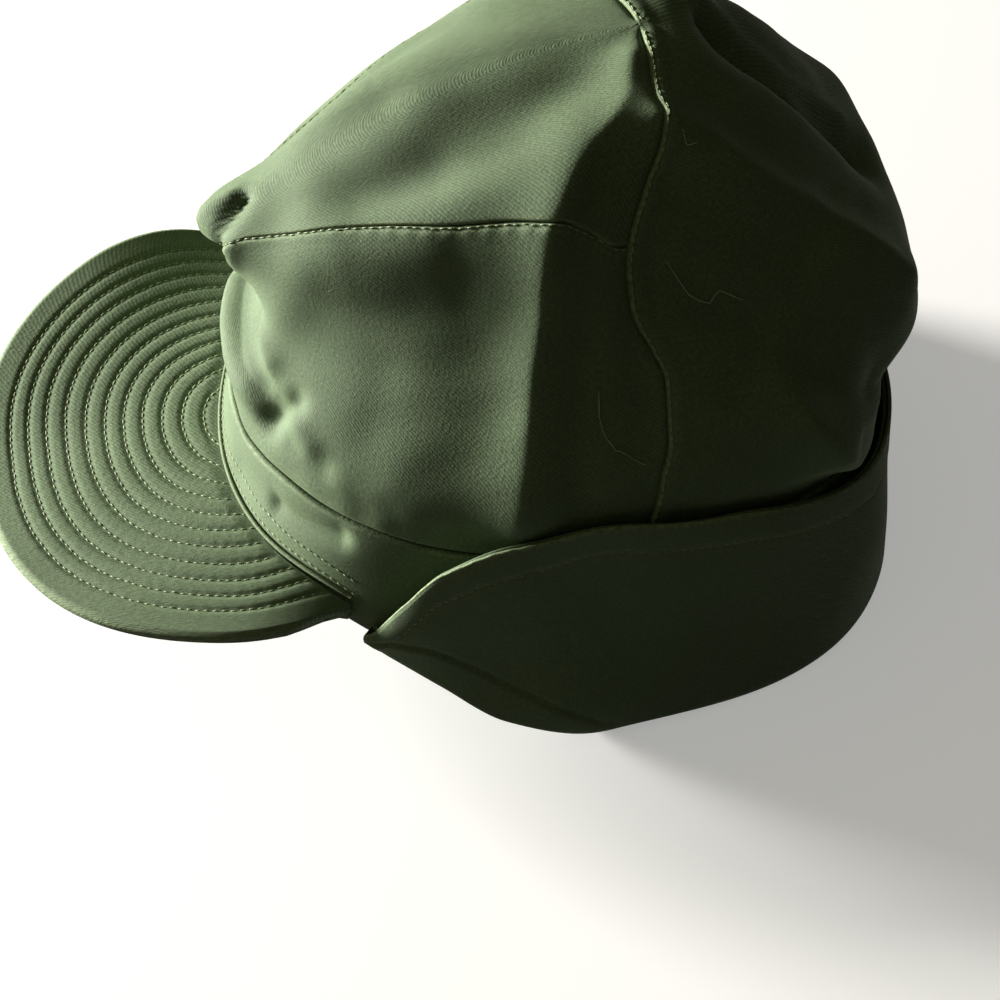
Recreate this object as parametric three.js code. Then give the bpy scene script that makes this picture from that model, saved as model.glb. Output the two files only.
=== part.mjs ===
import * as THREE from 'three';

// A field cap of cotton cloth: a soft crown of three panels on a head band, a quilted visor
// of two layers, and an ear flap that goes round the sides and back and is turned up outside.
// Millimetres, +Z up. The visor points to -Y, and the cap's left side is +X.
// A place on the cap is given by its turn, in degrees from the front towards the left side,
// and by its level, which counts the rows of the section table from the rim up.

// Driving dimensions
const capHalfWidth = 91;
const capHalfLength = 92.5;
const crownHeight = 162;
const clothWall = 2;
const seamGap = 0.4;
const seatGap = 0.3;
const flapHeight = 75;
const flapWall = 2.6;
const flapStandOff = 7;
const flapLeanIn = 5;
const flapFoldHeight = 5;
const flapCornerTurn = 52.5;
const visorHalfWidth = 86.4;
const visorReach = 100;
const visorChordSetback = 59.5;
const visorChordHeight = 50;
const visorPitch = 7.8;
const visorSideDroop = 16;
const visorRootTurn = 49;
const visorCornerStep = 3;
const visorWall = 2.2;
const visorFacingWall = 1.3;
const visorFacingInset = 0.8;
const clothColour = '#59634a';
const clothRoughness = 0.85;

// Sections of the cap at nine levels and its top point. Front, side, back and centre are
// distances from the middle as shares of capHalfLength and capHalfWidth. The three rises are
// heights as shares of crownHeight. A low front power makes the front half pointed in plan,
// and a high dip keeps the drop towards the front close to the front. Seam is the turn of
// the side seam at that level.
const sections = [
  { name: 'rim', front: 1.0, frontRise: 0.27, side: 1.0, sideRise: 0, back: 1.0, backRise: 0,
    centre: 0, frontPower: 2.6, backPower: 2.4, dip: 2, seam: 97 },
  { name: 'bandTop', front: 0.935, frontRise: 0.475, side: 0.956, sideRise: 0.37, back: 1.0,
    backRise: 0.358, centre: 0, frontPower: 2.4, backPower: 2.6, dip: 2, seam: 97 },
  { name: 'roll', front: 0.885, frontRise: 0.537, side: 0.965, sideRise: 0.494, back: 1.07, backRise: 0.47,
    centre: 0.02, frontPower: 2.2, backPower: 2.8, dip: 2, seam: 98 },
  { name: 'lowWall', front: 0.87, frontRise: 0.605, side: 0.88, sideRise: 0.61, back: 1.07, backRise: 0.568,
    centre: 0.043, frontPower: 1.8, backPower: 2.6, dip: 3, seam: 99 },
  { name: 'highWall', front: 0.915, frontRise: 0.667, side: 0.747, sideRise: 0.735, back: 1.03,
    backRise: 0.667, centre: 0.065, frontPower: 1.5, backPower: 2.2, dip: 4, seam: 94 },
  { name: 'topSeam', front: 0.95, frontRise: 0.728, side: 0.605, sideRise: 0.852, back: 0.905,
    backRise: 0.747, centre: 0.065, frontPower: 1.3, backPower: 2.1, dip: 6, seam: 94 },
  { name: 'shoulder', front: 0.78, frontRise: 0.809, side: 0.473, sideRise: 0.92, back: 0.735,
    backRise: 0.858, centre: 0.1, frontPower: 1.4, backPower: 2, dip: 4, seam: 94 },
  { name: 'upperTop', front: 0.54, frontRise: 0.9, side: 0.32, sideRise: 0.963, back: 0.56, backRise: 0.938,
    centre: 0.18, frontPower: 1.7, backPower: 2, dip: 3, seam: 91 },
  { name: 'innerTop', front: 0.13, frontRise: 0.972, side: 0.15, sideRise: 0.993, back: 0.435, backRise: 0.985,
    centre: 0.25, frontPower: 2, backPower: 2, dip: 2, seam: 90 },
  { name: 'apex', front: -0.279, frontRise: 1, side: 0.001, sideRise: 1, back: 0.281, backRise: 1,
    centre: 0.28, frontPower: 2, backPower: 2, dip: 2, seam: 90 },
];
const levelOf = (name) => sections.findIndex((row) => row.name === name);
const bandTopLevel = levelOf('bandTop');
const topSeamLevel = levelOf('topSeam');
const apexLevel = levelOf('apex');

// The cap's lower edge and the turned-up flap's free edge by turn. Low is a share of
// crownHeight and high a share of flapHeight.
const edgeRows = [
  { name: 'front', turn: 0, low: 0.262, high: 0.55 },
  { name: 'underVisor', turn: 28, low: 0.262, high: 0.55 },
  { name: 'visorCorner', turn: 45, low: 0.23, high: 0.55 },
  { name: 'flapCorner', turn: 52.5, low: 0.204, high: 0.58 },
  { name: 'flapRise', turn: 57.5, low: 0.176, high: 0.71 },
  { name: 'flapShoulder', turn: 64, low: 0.13, high: 0.89 },
  { name: 'temple', turn: 74, low: 0.053, high: 0.973 },
  { name: 'ear', turn: 90, low: 0, high: 1 },
  { name: 'behindEar', turn: 110, low: 0, high: 0.955 },
  { name: 'nape', turn: 138, low: 0, high: 0.78 },
  { name: 'back', turn: 180, low: 0, high: 0.74 },
];

// Folds and ridges of the crown and the band: each runs straight over the cloth from one
// place to another. Width and lift are shares of capHalfWidth; a negative lift is a crease.
const folds = [
  { name: 'frontPleat', turn: 2, level: 4, toTurn: 10, toLevel: 2.9, width: 0.09, lift: -0.055 },
  { name: 'frontPleatFoot', turn: 12, level: 2.8, toTurn: 27, toLevel: 1.3, width: 0.09, lift: -0.035 },
  { name: 'frontPout', turn: -2, level: 4.5, toTurn: 9, toLevel: 4.9, width: 0.11, lift: 0.02 },
  { name: 'browRidge', turn: 16, level: 2.2, toTurn: 20, toLevel: 4.4, width: 0.1, lift: 0.02 },
  { name: 'seamPuff', turn: 26, level: 5.1, toTurn: 72, toLevel: 5.1, width: 0.18, lift: 0.05 },
  { name: 'templeRidge', turn: 75, level: 2, toTurn: 77, toLevel: 6.4, width: 0.13, lift: 0.035 },
  { name: 'sideSeamTuck', turn: 97, level: 2, toTurn: 94, toLevel: 5, width: 0.07, lift: -0.012 },
  { name: 'rearDiagonal', turn: 106, level: 6.8, toTurn: 152, toLevel: 3.6, width: 0.13, lift: 0.045 },
  { name: 'rearCrease', turn: 186, level: 7, toTurn: 174, toLevel: 4.6, width: 0.12, lift: -0.06 },
  { name: 'rearRoll', turn: 215, level: 7.2, toTurn: 200, toLevel: 4.2, width: 0.13, lift: 0.04 },
  { name: 'lowRearRidge', turn: 120, level: 3, toTurn: 136, toLevel: 1.3, width: 0.09, lift: 0.03 },
  { name: 'lowRearHollow', turn: 140, level: 2.6, toTurn: 156, toLevel: 1.6, width: 0.1, lift: -0.05 },
  { name: 'farPleat', turn: -18, level: 3.6, toTurn: -30, toLevel: 1.5, width: 0.1, lift: -0.03 },
  { name: 'farSlump', turn: -14, level: 5.2, toTurn: -66, toLevel: 5.3, width: 0.2, lift: -0.045 },
  { name: 'farTempleRidge', turn: -74, level: 2, toTurn: -78, toLevel: 6, width: 0.14, lift: 0.03 },
  { name: 'farRearHollow', turn: -128, level: 3.4, toTurn: -142, toLevel: 1.8, width: 0.12, lift: -0.04 },
];
const foldSteps = 6;
// Steps over which a direction on the cloth is measured, in degrees and levels
const turnStep = 0.5;
const levelStep = 0.02;

// Solid mesh counts
const frontColumns = 34;
const rearColumns = 34;
const bandRows = 3;
const wallRows = 9;
const topRows = 7;
const flapColumns = 56;
const visorColumns = 36;
const visorRows = 5;

const degree = Math.PI / 180;
// Shares and powers of the shapes
const deepestFold = 0.1;
const foldFadeLevel = 0.6;
const tipSoftness = 0.05;
const flapPower = 2.75;
const flapHeightShares = [0, 0.06, 0.13, 0.35, 0.6, 0.82, 1];
const foldSolidShare = 0.5;
const visorOutlinePower = 2.38;
const visorCornerShare = 0.1;
const visorEdgeMargin = 0.03;
const droopAcross = 3;
const droopForward = 6;

function smooth(share) {
  const clamped = THREE.MathUtils.clamp(share, 0, 1);
  return clamped * clamped * (3 - 2 * clamped);
}

function signedTurn(turn) {
  return THREE.MathUtils.euclideanModulo(turn + 180, 360) - 180;
}

// One column of the section table at any level, on a smooth curve through the rows
function column(key, level) {
  const row = Math.min(Math.floor(level), apexLevel - 1);
  const part = level - row;
  const value = (index) => sections[THREE.MathUtils.clamp(index, 0, apexLevel)][key];
  const before = value(row - 1);
  const from = value(row);
  const to = value(row + 1);
  const after = value(row + 2);
  const leave = (to - before) / 2;
  const arrive = (after - from) / 2;
  const square = part * part;
  const cube = square * part;
  return (2 * cube - 3 * square + 1) * from + (cube - 2 * square + part) * leave
    + (3 * square - 2 * cube) * to + (cube - square) * arrive;
}

// One column of the edge table at any turn, the same on both sides of the cap
function edge(key, turn) {
  const side = Math.abs(signedTurn(turn));
  const above = edgeRows.findIndex((row) => row.turn >= side);
  const index = Math.max(above, 1);
  const low = edgeRows[index - 1];
  const high = edgeRows[index];
  const share = (side - low.turn) / (high.turn - low.turn);
  return THREE.MathUtils.lerp(low[key], high[key], share);
}

function rimHeight(turn) {
  return edge('low', turn) * crownHeight;
}

// Size of a sine from 0 to 1 with its corner at 0 rounded, so that a pointed oval has a soft tip
function rounded(sine) {
  const soften = (size) => Math.sqrt(size * size + tipSoftness * tipSoftness) - tipSoftness;
  return soften(sine) / soften(1);
}

// The smooth cap without its folds: an oval at each level that rises from side to ends
function plainPoint(turn, level) {
  const sine = Math.sin(turn * degree);
  const cosine = Math.cos(turn * degree);
  const inFront = cosine > 0;
  const centre = column('centre', level) * capHalfLength;
  const reach = inFront
    ? column('front', level) * capHalfLength + centre
    : column('back', level) * capHalfLength - centre;
  const half = column('side', level) * capHalfWidth;
  const power = column(inFront ? 'frontPower' : 'backPower', level);
  const across = Math.pow(rounded(sine) / half, power);
  const along = Math.pow(Math.abs(cosine) / reach, power);
  const radius = Math.pow(across + along, -1 / power);
  const dip = inFront ? column('dip', level) : 2;
  const endShare = Math.pow(Math.abs(cosine), dip);
  const endRise = column(inFront ? 'frontRise' : 'backRise', level);
  let height = THREE.MathUtils.lerp(column('sideRise', level), endRise, endShare) * crownHeight;
  if (level < bandTopLevel) {
    const top = plainPoint(turn, bandTopLevel).z;
    height = THREE.MathUtils.lerp(rimHeight(turn), top, level / bandTopLevel);
  }
  return new THREE.Vector3(radius * sine, centre - radius * cosine, height);
}

// Outward direction of a surface function at a place
function outward(surface, turn, level) {
  if (level > apexLevel - levelStep) {
    return new THREE.Vector3(0, 0, 1);
  }
  const lower = Math.max(level - levelStep, 0);
  const along = surface(turn + turnStep, level).sub(surface(turn - turnStep, level));
  const up = surface(turn, level + levelStep).sub(surface(turn, lower));
  return along.cross(up).normalize();
}

const foldPaths = folds.map((fold) => {
  const path = [];
  for (let step = 0; step <= foldSteps; step += 1) {
    const share = step / foldSteps;
    const turn = THREE.MathUtils.lerp(fold.turn, fold.toTurn, share);
    const level = THREE.MathUtils.lerp(fold.level, fold.toLevel, share);
    path.push(plainPoint(turn, level));
  }
  return { path, width: fold.width * capHalfWidth, lift: fold.lift * capHalfWidth };
});

function distanceToPath(point, path) {
  const nearest = new THREE.Vector3();
  let least = Infinity;
  for (let index = 1; index < path.length; index += 1) {
    const line = new THREE.Line3(path[index - 1], path[index]);
    line.closestPointToPoint(point, true, nearest);
    least = Math.min(least, nearest.distanceTo(point));
  }
  return least;
}

// Folds fade out over the band so that it stays clear of the flap and the visor
function foldLift(point, level) {
  let lift = 0;
  for (const fold of foldPaths) {
    const share = distanceToPath(point, fold.path) / fold.width;
    lift += fold.lift * Math.exp(-share * share);
  }
  const most = deepestFold * capHalfWidth;
  return THREE.MathUtils.clamp(lift, -most, most) * smooth(level / bandTopLevel - foldFadeLevel);
}

function capPoint(turn, level) {
  const point = plainPoint(turn, level);
  const lift = foldLift(point, level);
  return point.addScaledVector(outward(plainPoint, turn, level), lift);
}

// Direction through the wall: level on the band, square to the cloth from the roll upward
function throughWall(turn, level) {
  const direction = outward(capPoint, turn, level);
  direction.z *= smooth(level - bandTopLevel);
  return direction.normalize();
}

// Side seam: the columns of the front and rear panels meet on it at every level
function frontTurn(share, level) {
  return THREE.MathUtils.lerp(-1, 1, share) * column('seam', level);
}

function rearTurn(share, level) {
  const seam = column('seam', level);
  return THREE.MathUtils.lerp(seam, 360 - seam, share);
}

// Closed solid between two grids of points. A grid holds columns of rows. Round closes the
// last column on the first, and a pole joins all the last rows in one point.
function solidBetween(outer, inner, { round = false, pole = false } = {}) {
  const columns = outer.length;
  const rows = outer[0].length;
  const positions = [];
  const indices = [];
  const numbers = [outer, inner].map((grid) => {
    const ids = grid.map(() => []);
    for (let j = 0; j < rows; j += 1) {
      const shared = pole && j === rows - 1;
      for (let i = 0; i < columns; i += 1) {
        if (shared && i > 0) {
          ids[i].push(ids[0][j]);
        } else {
          ids[i].push(positions.length / 3);
          positions.push(...grid[i][j].toArray());
        }
      }
    }
    return ids;
  });
  const [out, into] = numbers;
  const face = (a, b, c) => {
    if (a !== b && b !== c && c !== a) {
      indices.push(a, b, c);
    }
  };
  const quad = (a, b, c, d) => {
    face(a, b, c);
    face(a, c, d);
  };
  const steps = round ? columns : columns - 1;
  for (let i = 0; i < steps; i += 1) {
    const next = (i + 1) % columns;
    for (let j = 0; j < rows - 1; j += 1) {
      quad(out[i][j], out[next][j], out[next][j + 1], out[i][j + 1]);
      quad(into[i][j], into[i][j + 1], into[next][j + 1], into[next][j]);
    }
    quad(out[i][0], into[i][0], into[next][0], out[next][0]);
    if (!pole) {
      quad(out[next][rows - 1], into[next][rows - 1], into[i][rows - 1], out[i][rows - 1]);
    }
  }
  if (!round) {
    const last = columns - 1;
    for (let j = 0; j < rows - 1; j += 1) {
      quad(out[0][j], out[0][j + 1], into[0][j + 1], into[0][j]);
      quad(out[last][j + 1], out[last][j], into[last][j], into[last][j + 1]);
    }
  }
  const geometry = new THREE.BufferGeometry();
  geometry.setAttribute('position', new THREE.Float32BufferAttribute(positions, 3));
  geometry.setIndex(indices);
  geometry.computeVertexNormals();
  return geometry;
}

function piece(name, geometry) {
  const material = new THREE.MeshStandardMaterial({
    color: clothColour,
    roughness: clothRoughness,
    metalness: 0,
  });
  const mesh = new THREE.Mesh(geometry, material);
  mesh.name = name;
  return mesh;
}

function grid(columns, rows, place) {
  return Array.from({ length: columns }, (_, i) => (
    Array.from({ length: rows }, (__, j) => place(i, j))
  ));
}

// Crown or band cloth of one wall thickness over a grid of places
function clothPanel(name, columns, rows, turnAt, levelAt, shift, shape) {
  const place = (depth) => (i, j) => {
    const level = levelAt(j / (rows - 1));
    const turn = turnAt(i, level);
    const point = capPoint(turn, level);
    return point.addScaledVector(throughWall(turn, level), -depth).add(shift);
  };
  const outer = grid(columns, rows, place(0));
  const inner = grid(columns, rows, place(clothWall));
  return piece(name, solidBetween(outer, inner, shape));
}

function headBand() {
  const around = frontColumns + rearColumns;
  const turnAt = (i, level) => (i <= frontColumns
    ? frontTurn(i / frontColumns, level)
    : rearTurn((i - frontColumns) / rearColumns, level));
  const levelAt = (share) => share * bandTopLevel;
  const shift = new THREE.Vector3();
  return clothPanel('head_band', around, bandRows + 1, turnAt, levelAt, shift, { round: true });
}

function crownFront() {
  const turnAt = (i, level) => frontTurn(i / frontColumns, level);
  const levelAt = (share) => THREE.MathUtils.lerp(bandTopLevel, topSeamLevel, share);
  const shift = new THREE.Vector3(0, -seamGap / 2, seamGap);
  return clothPanel('crown_front', frontColumns + 1, wallRows + 1, turnAt, levelAt, shift);
}

function crownTop() {
  const turnAt = (i, level) => frontTurn(i / frontColumns, level);
  const levelAt = (share) => THREE.MathUtils.lerp(topSeamLevel, apexLevel, share);
  const shift = new THREE.Vector3(0, -seamGap / 2, 2.5 * seamGap);
  return clothPanel('crown_top', frontColumns + 1, topRows + 1, turnAt, levelAt, shift, { pole: true });
}

function crownBack() {
  const turnAt = (i, level) => rearTurn(i / rearColumns, level);
  const levelAt = (share) => {
    const wallShare = wallRows / (wallRows + topRows);
    return share <= wallShare
      ? THREE.MathUtils.lerp(bandTopLevel, topSeamLevel, share / wallShare)
      : THREE.MathUtils.lerp(topSeamLevel, apexLevel, (share - wallShare) / (1 - wallShare));
  };
  const shift = new THREE.Vector3(0, seamGap / 2, seamGap);
  const rows = wallRows + topRows + 1;
  return clothPanel('crown_back', rearColumns + 1, rows, turnAt, levelAt, shift, { pole: true });
}

// Distance from the middle to the band's outer face at a turn and a height
function bandRadius(turn, height) {
  const low = rimHeight(turn);
  const high = plainPoint(turn, bandTopLevel).z;
  const level = THREE.MathUtils.clamp((height - low) / (high - low), 0, 1) * bandTopLevel;
  const point = plainPoint(turn, level);
  return Math.hypot(point.x, point.y);
}

// The flap stands off the band and leans in a little towards its free edge
function earFlap() {
  const turnAt = (i) => THREE.MathUtils.lerp(flapCornerTurn, 360 - flapCornerTurn, i / flapColumns);
  const radiusAt = (turn, height) => {
    const lean = flapLeanIn * height / flapHeight;
    const half = capHalfWidth + flapStandOff - lean;
    const reach = capHalfLength + flapStandOff - lean;
    const across = Math.pow(Math.abs(Math.sin(turn * degree)) / half, flapPower);
    const along = Math.pow(Math.abs(Math.cos(turn * degree)) / reach, flapPower);
    return Math.pow(across + along, -1 / flapPower);
  };
  const place = (inside) => (i, j) => {
    const turn = turnAt(i);
    const low = rimHeight(turn);
    const high = edge('high', turn) * flapHeight;
    const height = THREE.MathUtils.lerp(low, high, flapHeightShares[j]);
    let radius = radiusAt(turn, height);
    if (inside) {
      const seat = bandRadius(turn, height) + seatGap;
      const open = smooth((height - low) / flapFoldHeight - foldSolidShare);
      radius = THREE.MathUtils.lerp(seat, radius - flapWall, open);
    }
    return new THREE.Vector3(radius * Math.sin(turn * degree), -radius * Math.cos(turn * degree), height);
  };
  const outer = grid(flapColumns + 1, flapHeightShares.length, place(false));
  const inner = grid(flapColumns + 1, flapHeightShares.length, place(true));
  return piece('ear_flap', solidBetween(outer, inner));
}

// Height of the visor's upper face over a place in plan
function visorTop(x, y) {
  const forward = (-y - visorChordSetback) / Math.cos(visorPitch * degree);
  const share = THREE.MathUtils.clamp(forward / visorReach, 0, 1);
  const droop = Math.pow(Math.abs(x) / visorHalfWidth, droopAcross) * Math.pow(1 - share, droopForward);
  return visorChordHeight - Math.sin(visorPitch * degree) * forward - visorSideDroop * droop;
}

// A visor layer between two depths under the upper face, from the band out to its edge
function visorLayer(name, depth, wall, inset) {
  const halfWidth = visorHalfWidth - inset;
  const reach = (visorReach - inset) * Math.cos(visorPitch * degree);
  const edgePoint = (share) => {
    const swing = THREE.MathUtils.lerp(-90, 90, share) * degree;
    const across = Math.pow(Math.abs(Math.sin(swing)), 2 / visorOutlinePower) * Math.sign(swing);
    const along = Math.pow(Math.cos(swing), 2 / visorOutlinePower);
    return new THREE.Vector2(halfWidth * across, -visorChordSetback - reach * along);
  };
  const rootPoint = (turn, away) => {
    const radius = bandRadius(turn, 0) + away;
    return new THREE.Vector2(radius * Math.sin(turn * degree), -radius * Math.cos(turn * degree));
  };
  const place = (under) => (i, j) => {
    const share = i / visorColumns;
    const turn = THREE.MathUtils.lerp(-visorRootTurn, visorRootTurn, share);
    const endShare = Math.min(share, 1 - share) / visorCornerShare;
    const edgeShare = THREE.MathUtils.lerp(visorEdgeMargin, 1 - visorEdgeMargin, share);
    const corner = rootPoint(turn, visorCornerStep - inset);
    const edgePlace = corner.lerp(edgePoint(edgeShare), smooth(endShare));
    const plan = rootPoint(turn, seatGap).lerp(edgePlace, j / visorRows);
    return new THREE.Vector3(plan.x, plan.y, visorTop(plan.x, plan.y) - under);
  };
  const upper = grid(visorColumns + 1, visorRows + 1, place(depth));
  const lower = grid(visorColumns + 1, visorRows + 1, place(depth + wall));
  return piece(name, solidBetween(lower, upper));
}

const cap = new THREE.Group();
cap.add(headBand());
cap.add(crownFront());
cap.add(crownTop());
cap.add(crownBack());
cap.add(earFlap());
cap.add(visorLayer('visor', 0, visorWall, 0));
cap.add(visorLayer('visor_facing', visorWall + seatGap, visorFacingWall, visorFacingInset));

// The origin is the middle of the cap's box, on the surface that it stands on
const box = new THREE.Box3().setFromObject(cap);
cap.position.set(-(box.min.x + box.max.x) / 2, -(box.min.y + box.max.y) / 2, -box.min.z);
cap.updateMatrixWorld(true);

export default cap;
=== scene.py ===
# %% [markdown]
# # A field cap of cotton sateen
# This notebook dresses a field cap: a soft crown sewn from three panels, a head band, a quilted
# visor and a wide ear flap that is turned up round the sides and back. The solids come from a
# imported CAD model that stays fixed. Each cloth piece is made again here with far more points,
# in the place of its solid, so that folds, seams and stitches can show.

import math

import bpy
import numpy as np
from mathutils import Matrix, Vector


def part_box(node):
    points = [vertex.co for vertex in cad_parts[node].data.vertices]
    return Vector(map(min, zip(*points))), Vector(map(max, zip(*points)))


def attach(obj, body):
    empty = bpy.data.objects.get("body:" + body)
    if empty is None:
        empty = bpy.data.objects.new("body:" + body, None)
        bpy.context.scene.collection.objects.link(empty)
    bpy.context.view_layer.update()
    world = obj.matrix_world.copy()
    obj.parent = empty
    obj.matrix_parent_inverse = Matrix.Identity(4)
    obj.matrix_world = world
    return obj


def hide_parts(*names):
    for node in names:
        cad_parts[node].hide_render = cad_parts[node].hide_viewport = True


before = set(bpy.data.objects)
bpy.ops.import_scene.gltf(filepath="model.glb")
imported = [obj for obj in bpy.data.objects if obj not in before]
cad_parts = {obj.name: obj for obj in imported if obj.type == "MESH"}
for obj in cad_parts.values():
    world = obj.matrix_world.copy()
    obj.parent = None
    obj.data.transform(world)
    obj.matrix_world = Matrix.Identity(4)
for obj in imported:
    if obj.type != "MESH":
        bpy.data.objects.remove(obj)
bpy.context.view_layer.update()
print("nodes:", sorted(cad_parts))

# %% [markdown]
# ## One frame for everything
# The CAD measures the cap from the middle of its head ring, and then moves it so that its box
# is centred. Here the shapes are worked out in millimetres from the ring's middle, and `to_row`
# brings them to the row's frame in metres. The ring's middle is the middle of the band's box.

# %% From millimetres round the head ring to the row's frame
MM = 0.001
band_low, band_high = (np.array(corner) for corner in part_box("head_band"))
RING = (band_low + band_high) / 2
RING[2] = 0.0


def to_row(points):
    """Points in mm from the ring's middle, as metres in the row's frame"""
    return np.asarray(points, dtype=float) * MM + RING


def smooth(share):
    share = np.clip(share, 0, 1)
    return share * share * (3 - 2 * share)


print("ring middle (m):", RING.round(4).tolist())

# %% [markdown]
# ## Camera
# The photograph looks down at the cap's left side, from a little in front of it. A camera was
# fitted to the outlines: its turn, its height above the floor, its distance and its focal
# length. The view's middle lies beside the cap, because the photograph cuts the cap's top and
# visor off at its edges.

# %% Place the camera
VIEW_TURN = math.radians(78.56)
VIEW_HEIGHT = math.radians(46.7)
VIEW_DISTANCE_MM = 793.78
VIEW_ASIDE_MM = (-10.09, -6.97)
FOCAL_PIXELS = 2659.72
IMAGE_PIXELS = 1000
SENSOR_MM = 36.0

view_right = np.array([math.cos(VIEW_TURN), math.sin(VIEW_TURN), 0.0])
view_back = np.array([
    math.sin(VIEW_TURN) * math.cos(VIEW_HEIGHT),
    -math.cos(VIEW_TURN) * math.cos(VIEW_HEIGHT),
    math.sin(VIEW_HEIGHT),
])
view_up = np.cross(view_back, view_right)
view_target = VIEW_ASIDE_MM[0] * view_right + VIEW_ASIDE_MM[1] * view_up
camera_data = bpy.data.cameras.new("product_camera")
camera_data.sensor_width = SENSOR_MM
camera_data.lens = SENSOR_MM * FOCAL_PIXELS / IMAGE_PIXELS
camera = bpy.data.objects.new("product_camera", camera_data)
bpy.context.scene.collection.objects.link(camera)
camera.location = to_row(view_target + VIEW_DISTANCE_MM * view_back)
turned = np.identity(4)
turned[:3, 0], turned[:3, 1], turned[:3, 2] = view_right, view_up, view_back
turned[:3, 3] = camera.location
camera.matrix_world = Matrix(turned.tolist())
bpy.context.scene.camera = camera
print("lens (mm):", round(camera_data.lens, 2))

# %% [markdown]
# ## The cap's smooth shape
# A place on the cap is a turn, in degrees from the front towards the left side, and a level,
# which counts the rows of a table of sections from the rim up: 1 is the seam between band and
# crown, 5 the seam across the front half, and 9 the top point. Each row holds how far the front,
# side and back reach and how high they are. It is the table that the solids are made from, so
# the cloth made here lies where they do.

# %% The table of sections and the smooth surface
HALF_WIDTH, HALF_LENGTH, CROWN_HEIGHT = 91.0, 92.5, 162.0
SECTIONS = {
    "front": [1.0, 0.935, 0.885, 0.87, 0.915, 0.95, 0.78, 0.54, 0.13, -0.279],
    "front_rise": [0.27, 0.475, 0.537, 0.605, 0.667, 0.728, 0.809, 0.9, 0.972, 1.0],
    "side": [1.0, 0.956, 0.965, 0.88, 0.747, 0.605, 0.473, 0.32, 0.15, 0.001],
    "side_rise": [0.0, 0.37, 0.494, 0.61, 0.735, 0.852, 0.92, 0.963, 0.993, 1.0],
    "back": [1.0, 1.0, 1.07, 1.07, 1.03, 0.905, 0.735, 0.56, 0.435, 0.281],
    "back_rise": [0.0, 0.358, 0.47, 0.568, 0.667, 0.747, 0.858, 0.938, 0.985, 1.0],
    "centre": [0.0, 0.0, 0.02, 0.043, 0.065, 0.065, 0.1, 0.18, 0.25, 0.28],
    "front_power": [2.6, 2.4, 2.2, 1.8, 1.5, 1.3, 1.4, 1.7, 2.0, 2.0],
    "back_power": [2.4, 2.6, 2.8, 2.6, 2.2, 2.1, 2.0, 2.0, 2.0, 2.0],
    "dip": [2, 2, 2, 3, 4, 6, 4, 3, 2, 2],
    "seam": [97, 97, 98, 99, 94, 94, 94, 91, 90, 90],
}
BAND_TOP, TOP_SEAM, APEX = 1, 5, 9
TIP_SOFTNESS = 0.05
EDGE_TURNS = [0, 28, 45, 52.5, 57.5, 64, 74, 90, 110, 138, 180]
EDGE_LOW = [0.262, 0.262, 0.23, 0.204, 0.176, 0.13, 0.053, 0, 0, 0, 0]
EDGE_HIGH = [0.47, 0.47, 0.48, 0.5, 0.655, 0.85, 0.965, 1, 0.955, 0.78, 0.74]


def column(key, level):
    """One column of the section table at any level, on a smooth curve through its rows"""
    values = np.array(SECTIONS[key], dtype=float)
    level = np.asarray(level, dtype=float)
    row = np.clip(np.floor(level), 0, APEX - 1).astype(int)
    part = level - row
    before, start = values[np.clip(row - 1, 0, APEX)], values[row]
    end, after = values[row + 1], values[np.clip(row + 2, 0, APEX)]
    leave, arrive = (end - before) / 2, (after - start) / 2
    return ((2 * part**3 - 3 * part**2 + 1) * start + (part**3 - 2 * part**2 + part) * leave
            + (3 * part**2 - 2 * part**3) * end + (part**3 - part**2) * arrive)


def eased(at, stops, values):
    """A smooth curve through the stops that never overshoots them"""
    stops, values = np.array(stops, float), np.array(values, float)
    slopes = np.diff(values) / np.diff(stops)
    same_way = slopes[1:] * slopes[:-1] > 0
    total = np.where(same_way, slopes[1:] + slopes[:-1], 1)
    mean = np.where(same_way, 2 * slopes[1:] * slopes[:-1] / total, 0)
    tangents = np.concatenate([[slopes[0]], mean, [slopes[-1]]])
    at = np.clip(at, stops[0], stops[-1])
    k = np.clip(np.searchsorted(stops, at) - 1, 0, len(slopes) - 1)
    gap = stops[k + 1] - stops[k]
    part = (at - stops[k]) / gap
    return ((1 + 2 * part) * (1 - part) ** 2 * values[k] + part * (1 - part) ** 2 * gap * tangents[k]
            + part**2 * (3 - 2 * part) * values[k + 1] + part**2 * (part - 1) * gap * tangents[k + 1])


def edge(values, turn):
    """The lower or free edge by turn, the same on both sides of the cap"""
    side = np.abs((np.asarray(turn, dtype=float) + 180) % 360 - 180)
    return eased(side, EDGE_TURNS, values)


def softened(size):
    return (np.sqrt(size * size + TIP_SOFTNESS**2) - TIP_SOFTNESS) / (
        math.sqrt(1 + TIP_SOFTNESS**2) - TIP_SOFTNESS)


# The band and the lower crown sit further back here than in the solids, as the photograph shows
SUNK_TURN, SUNK_WIDTH, SUNK_MM = -22.0, 19.0, 8.6
SUNK_TOP, SUNK_FADE = 4.1, 0.9


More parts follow.
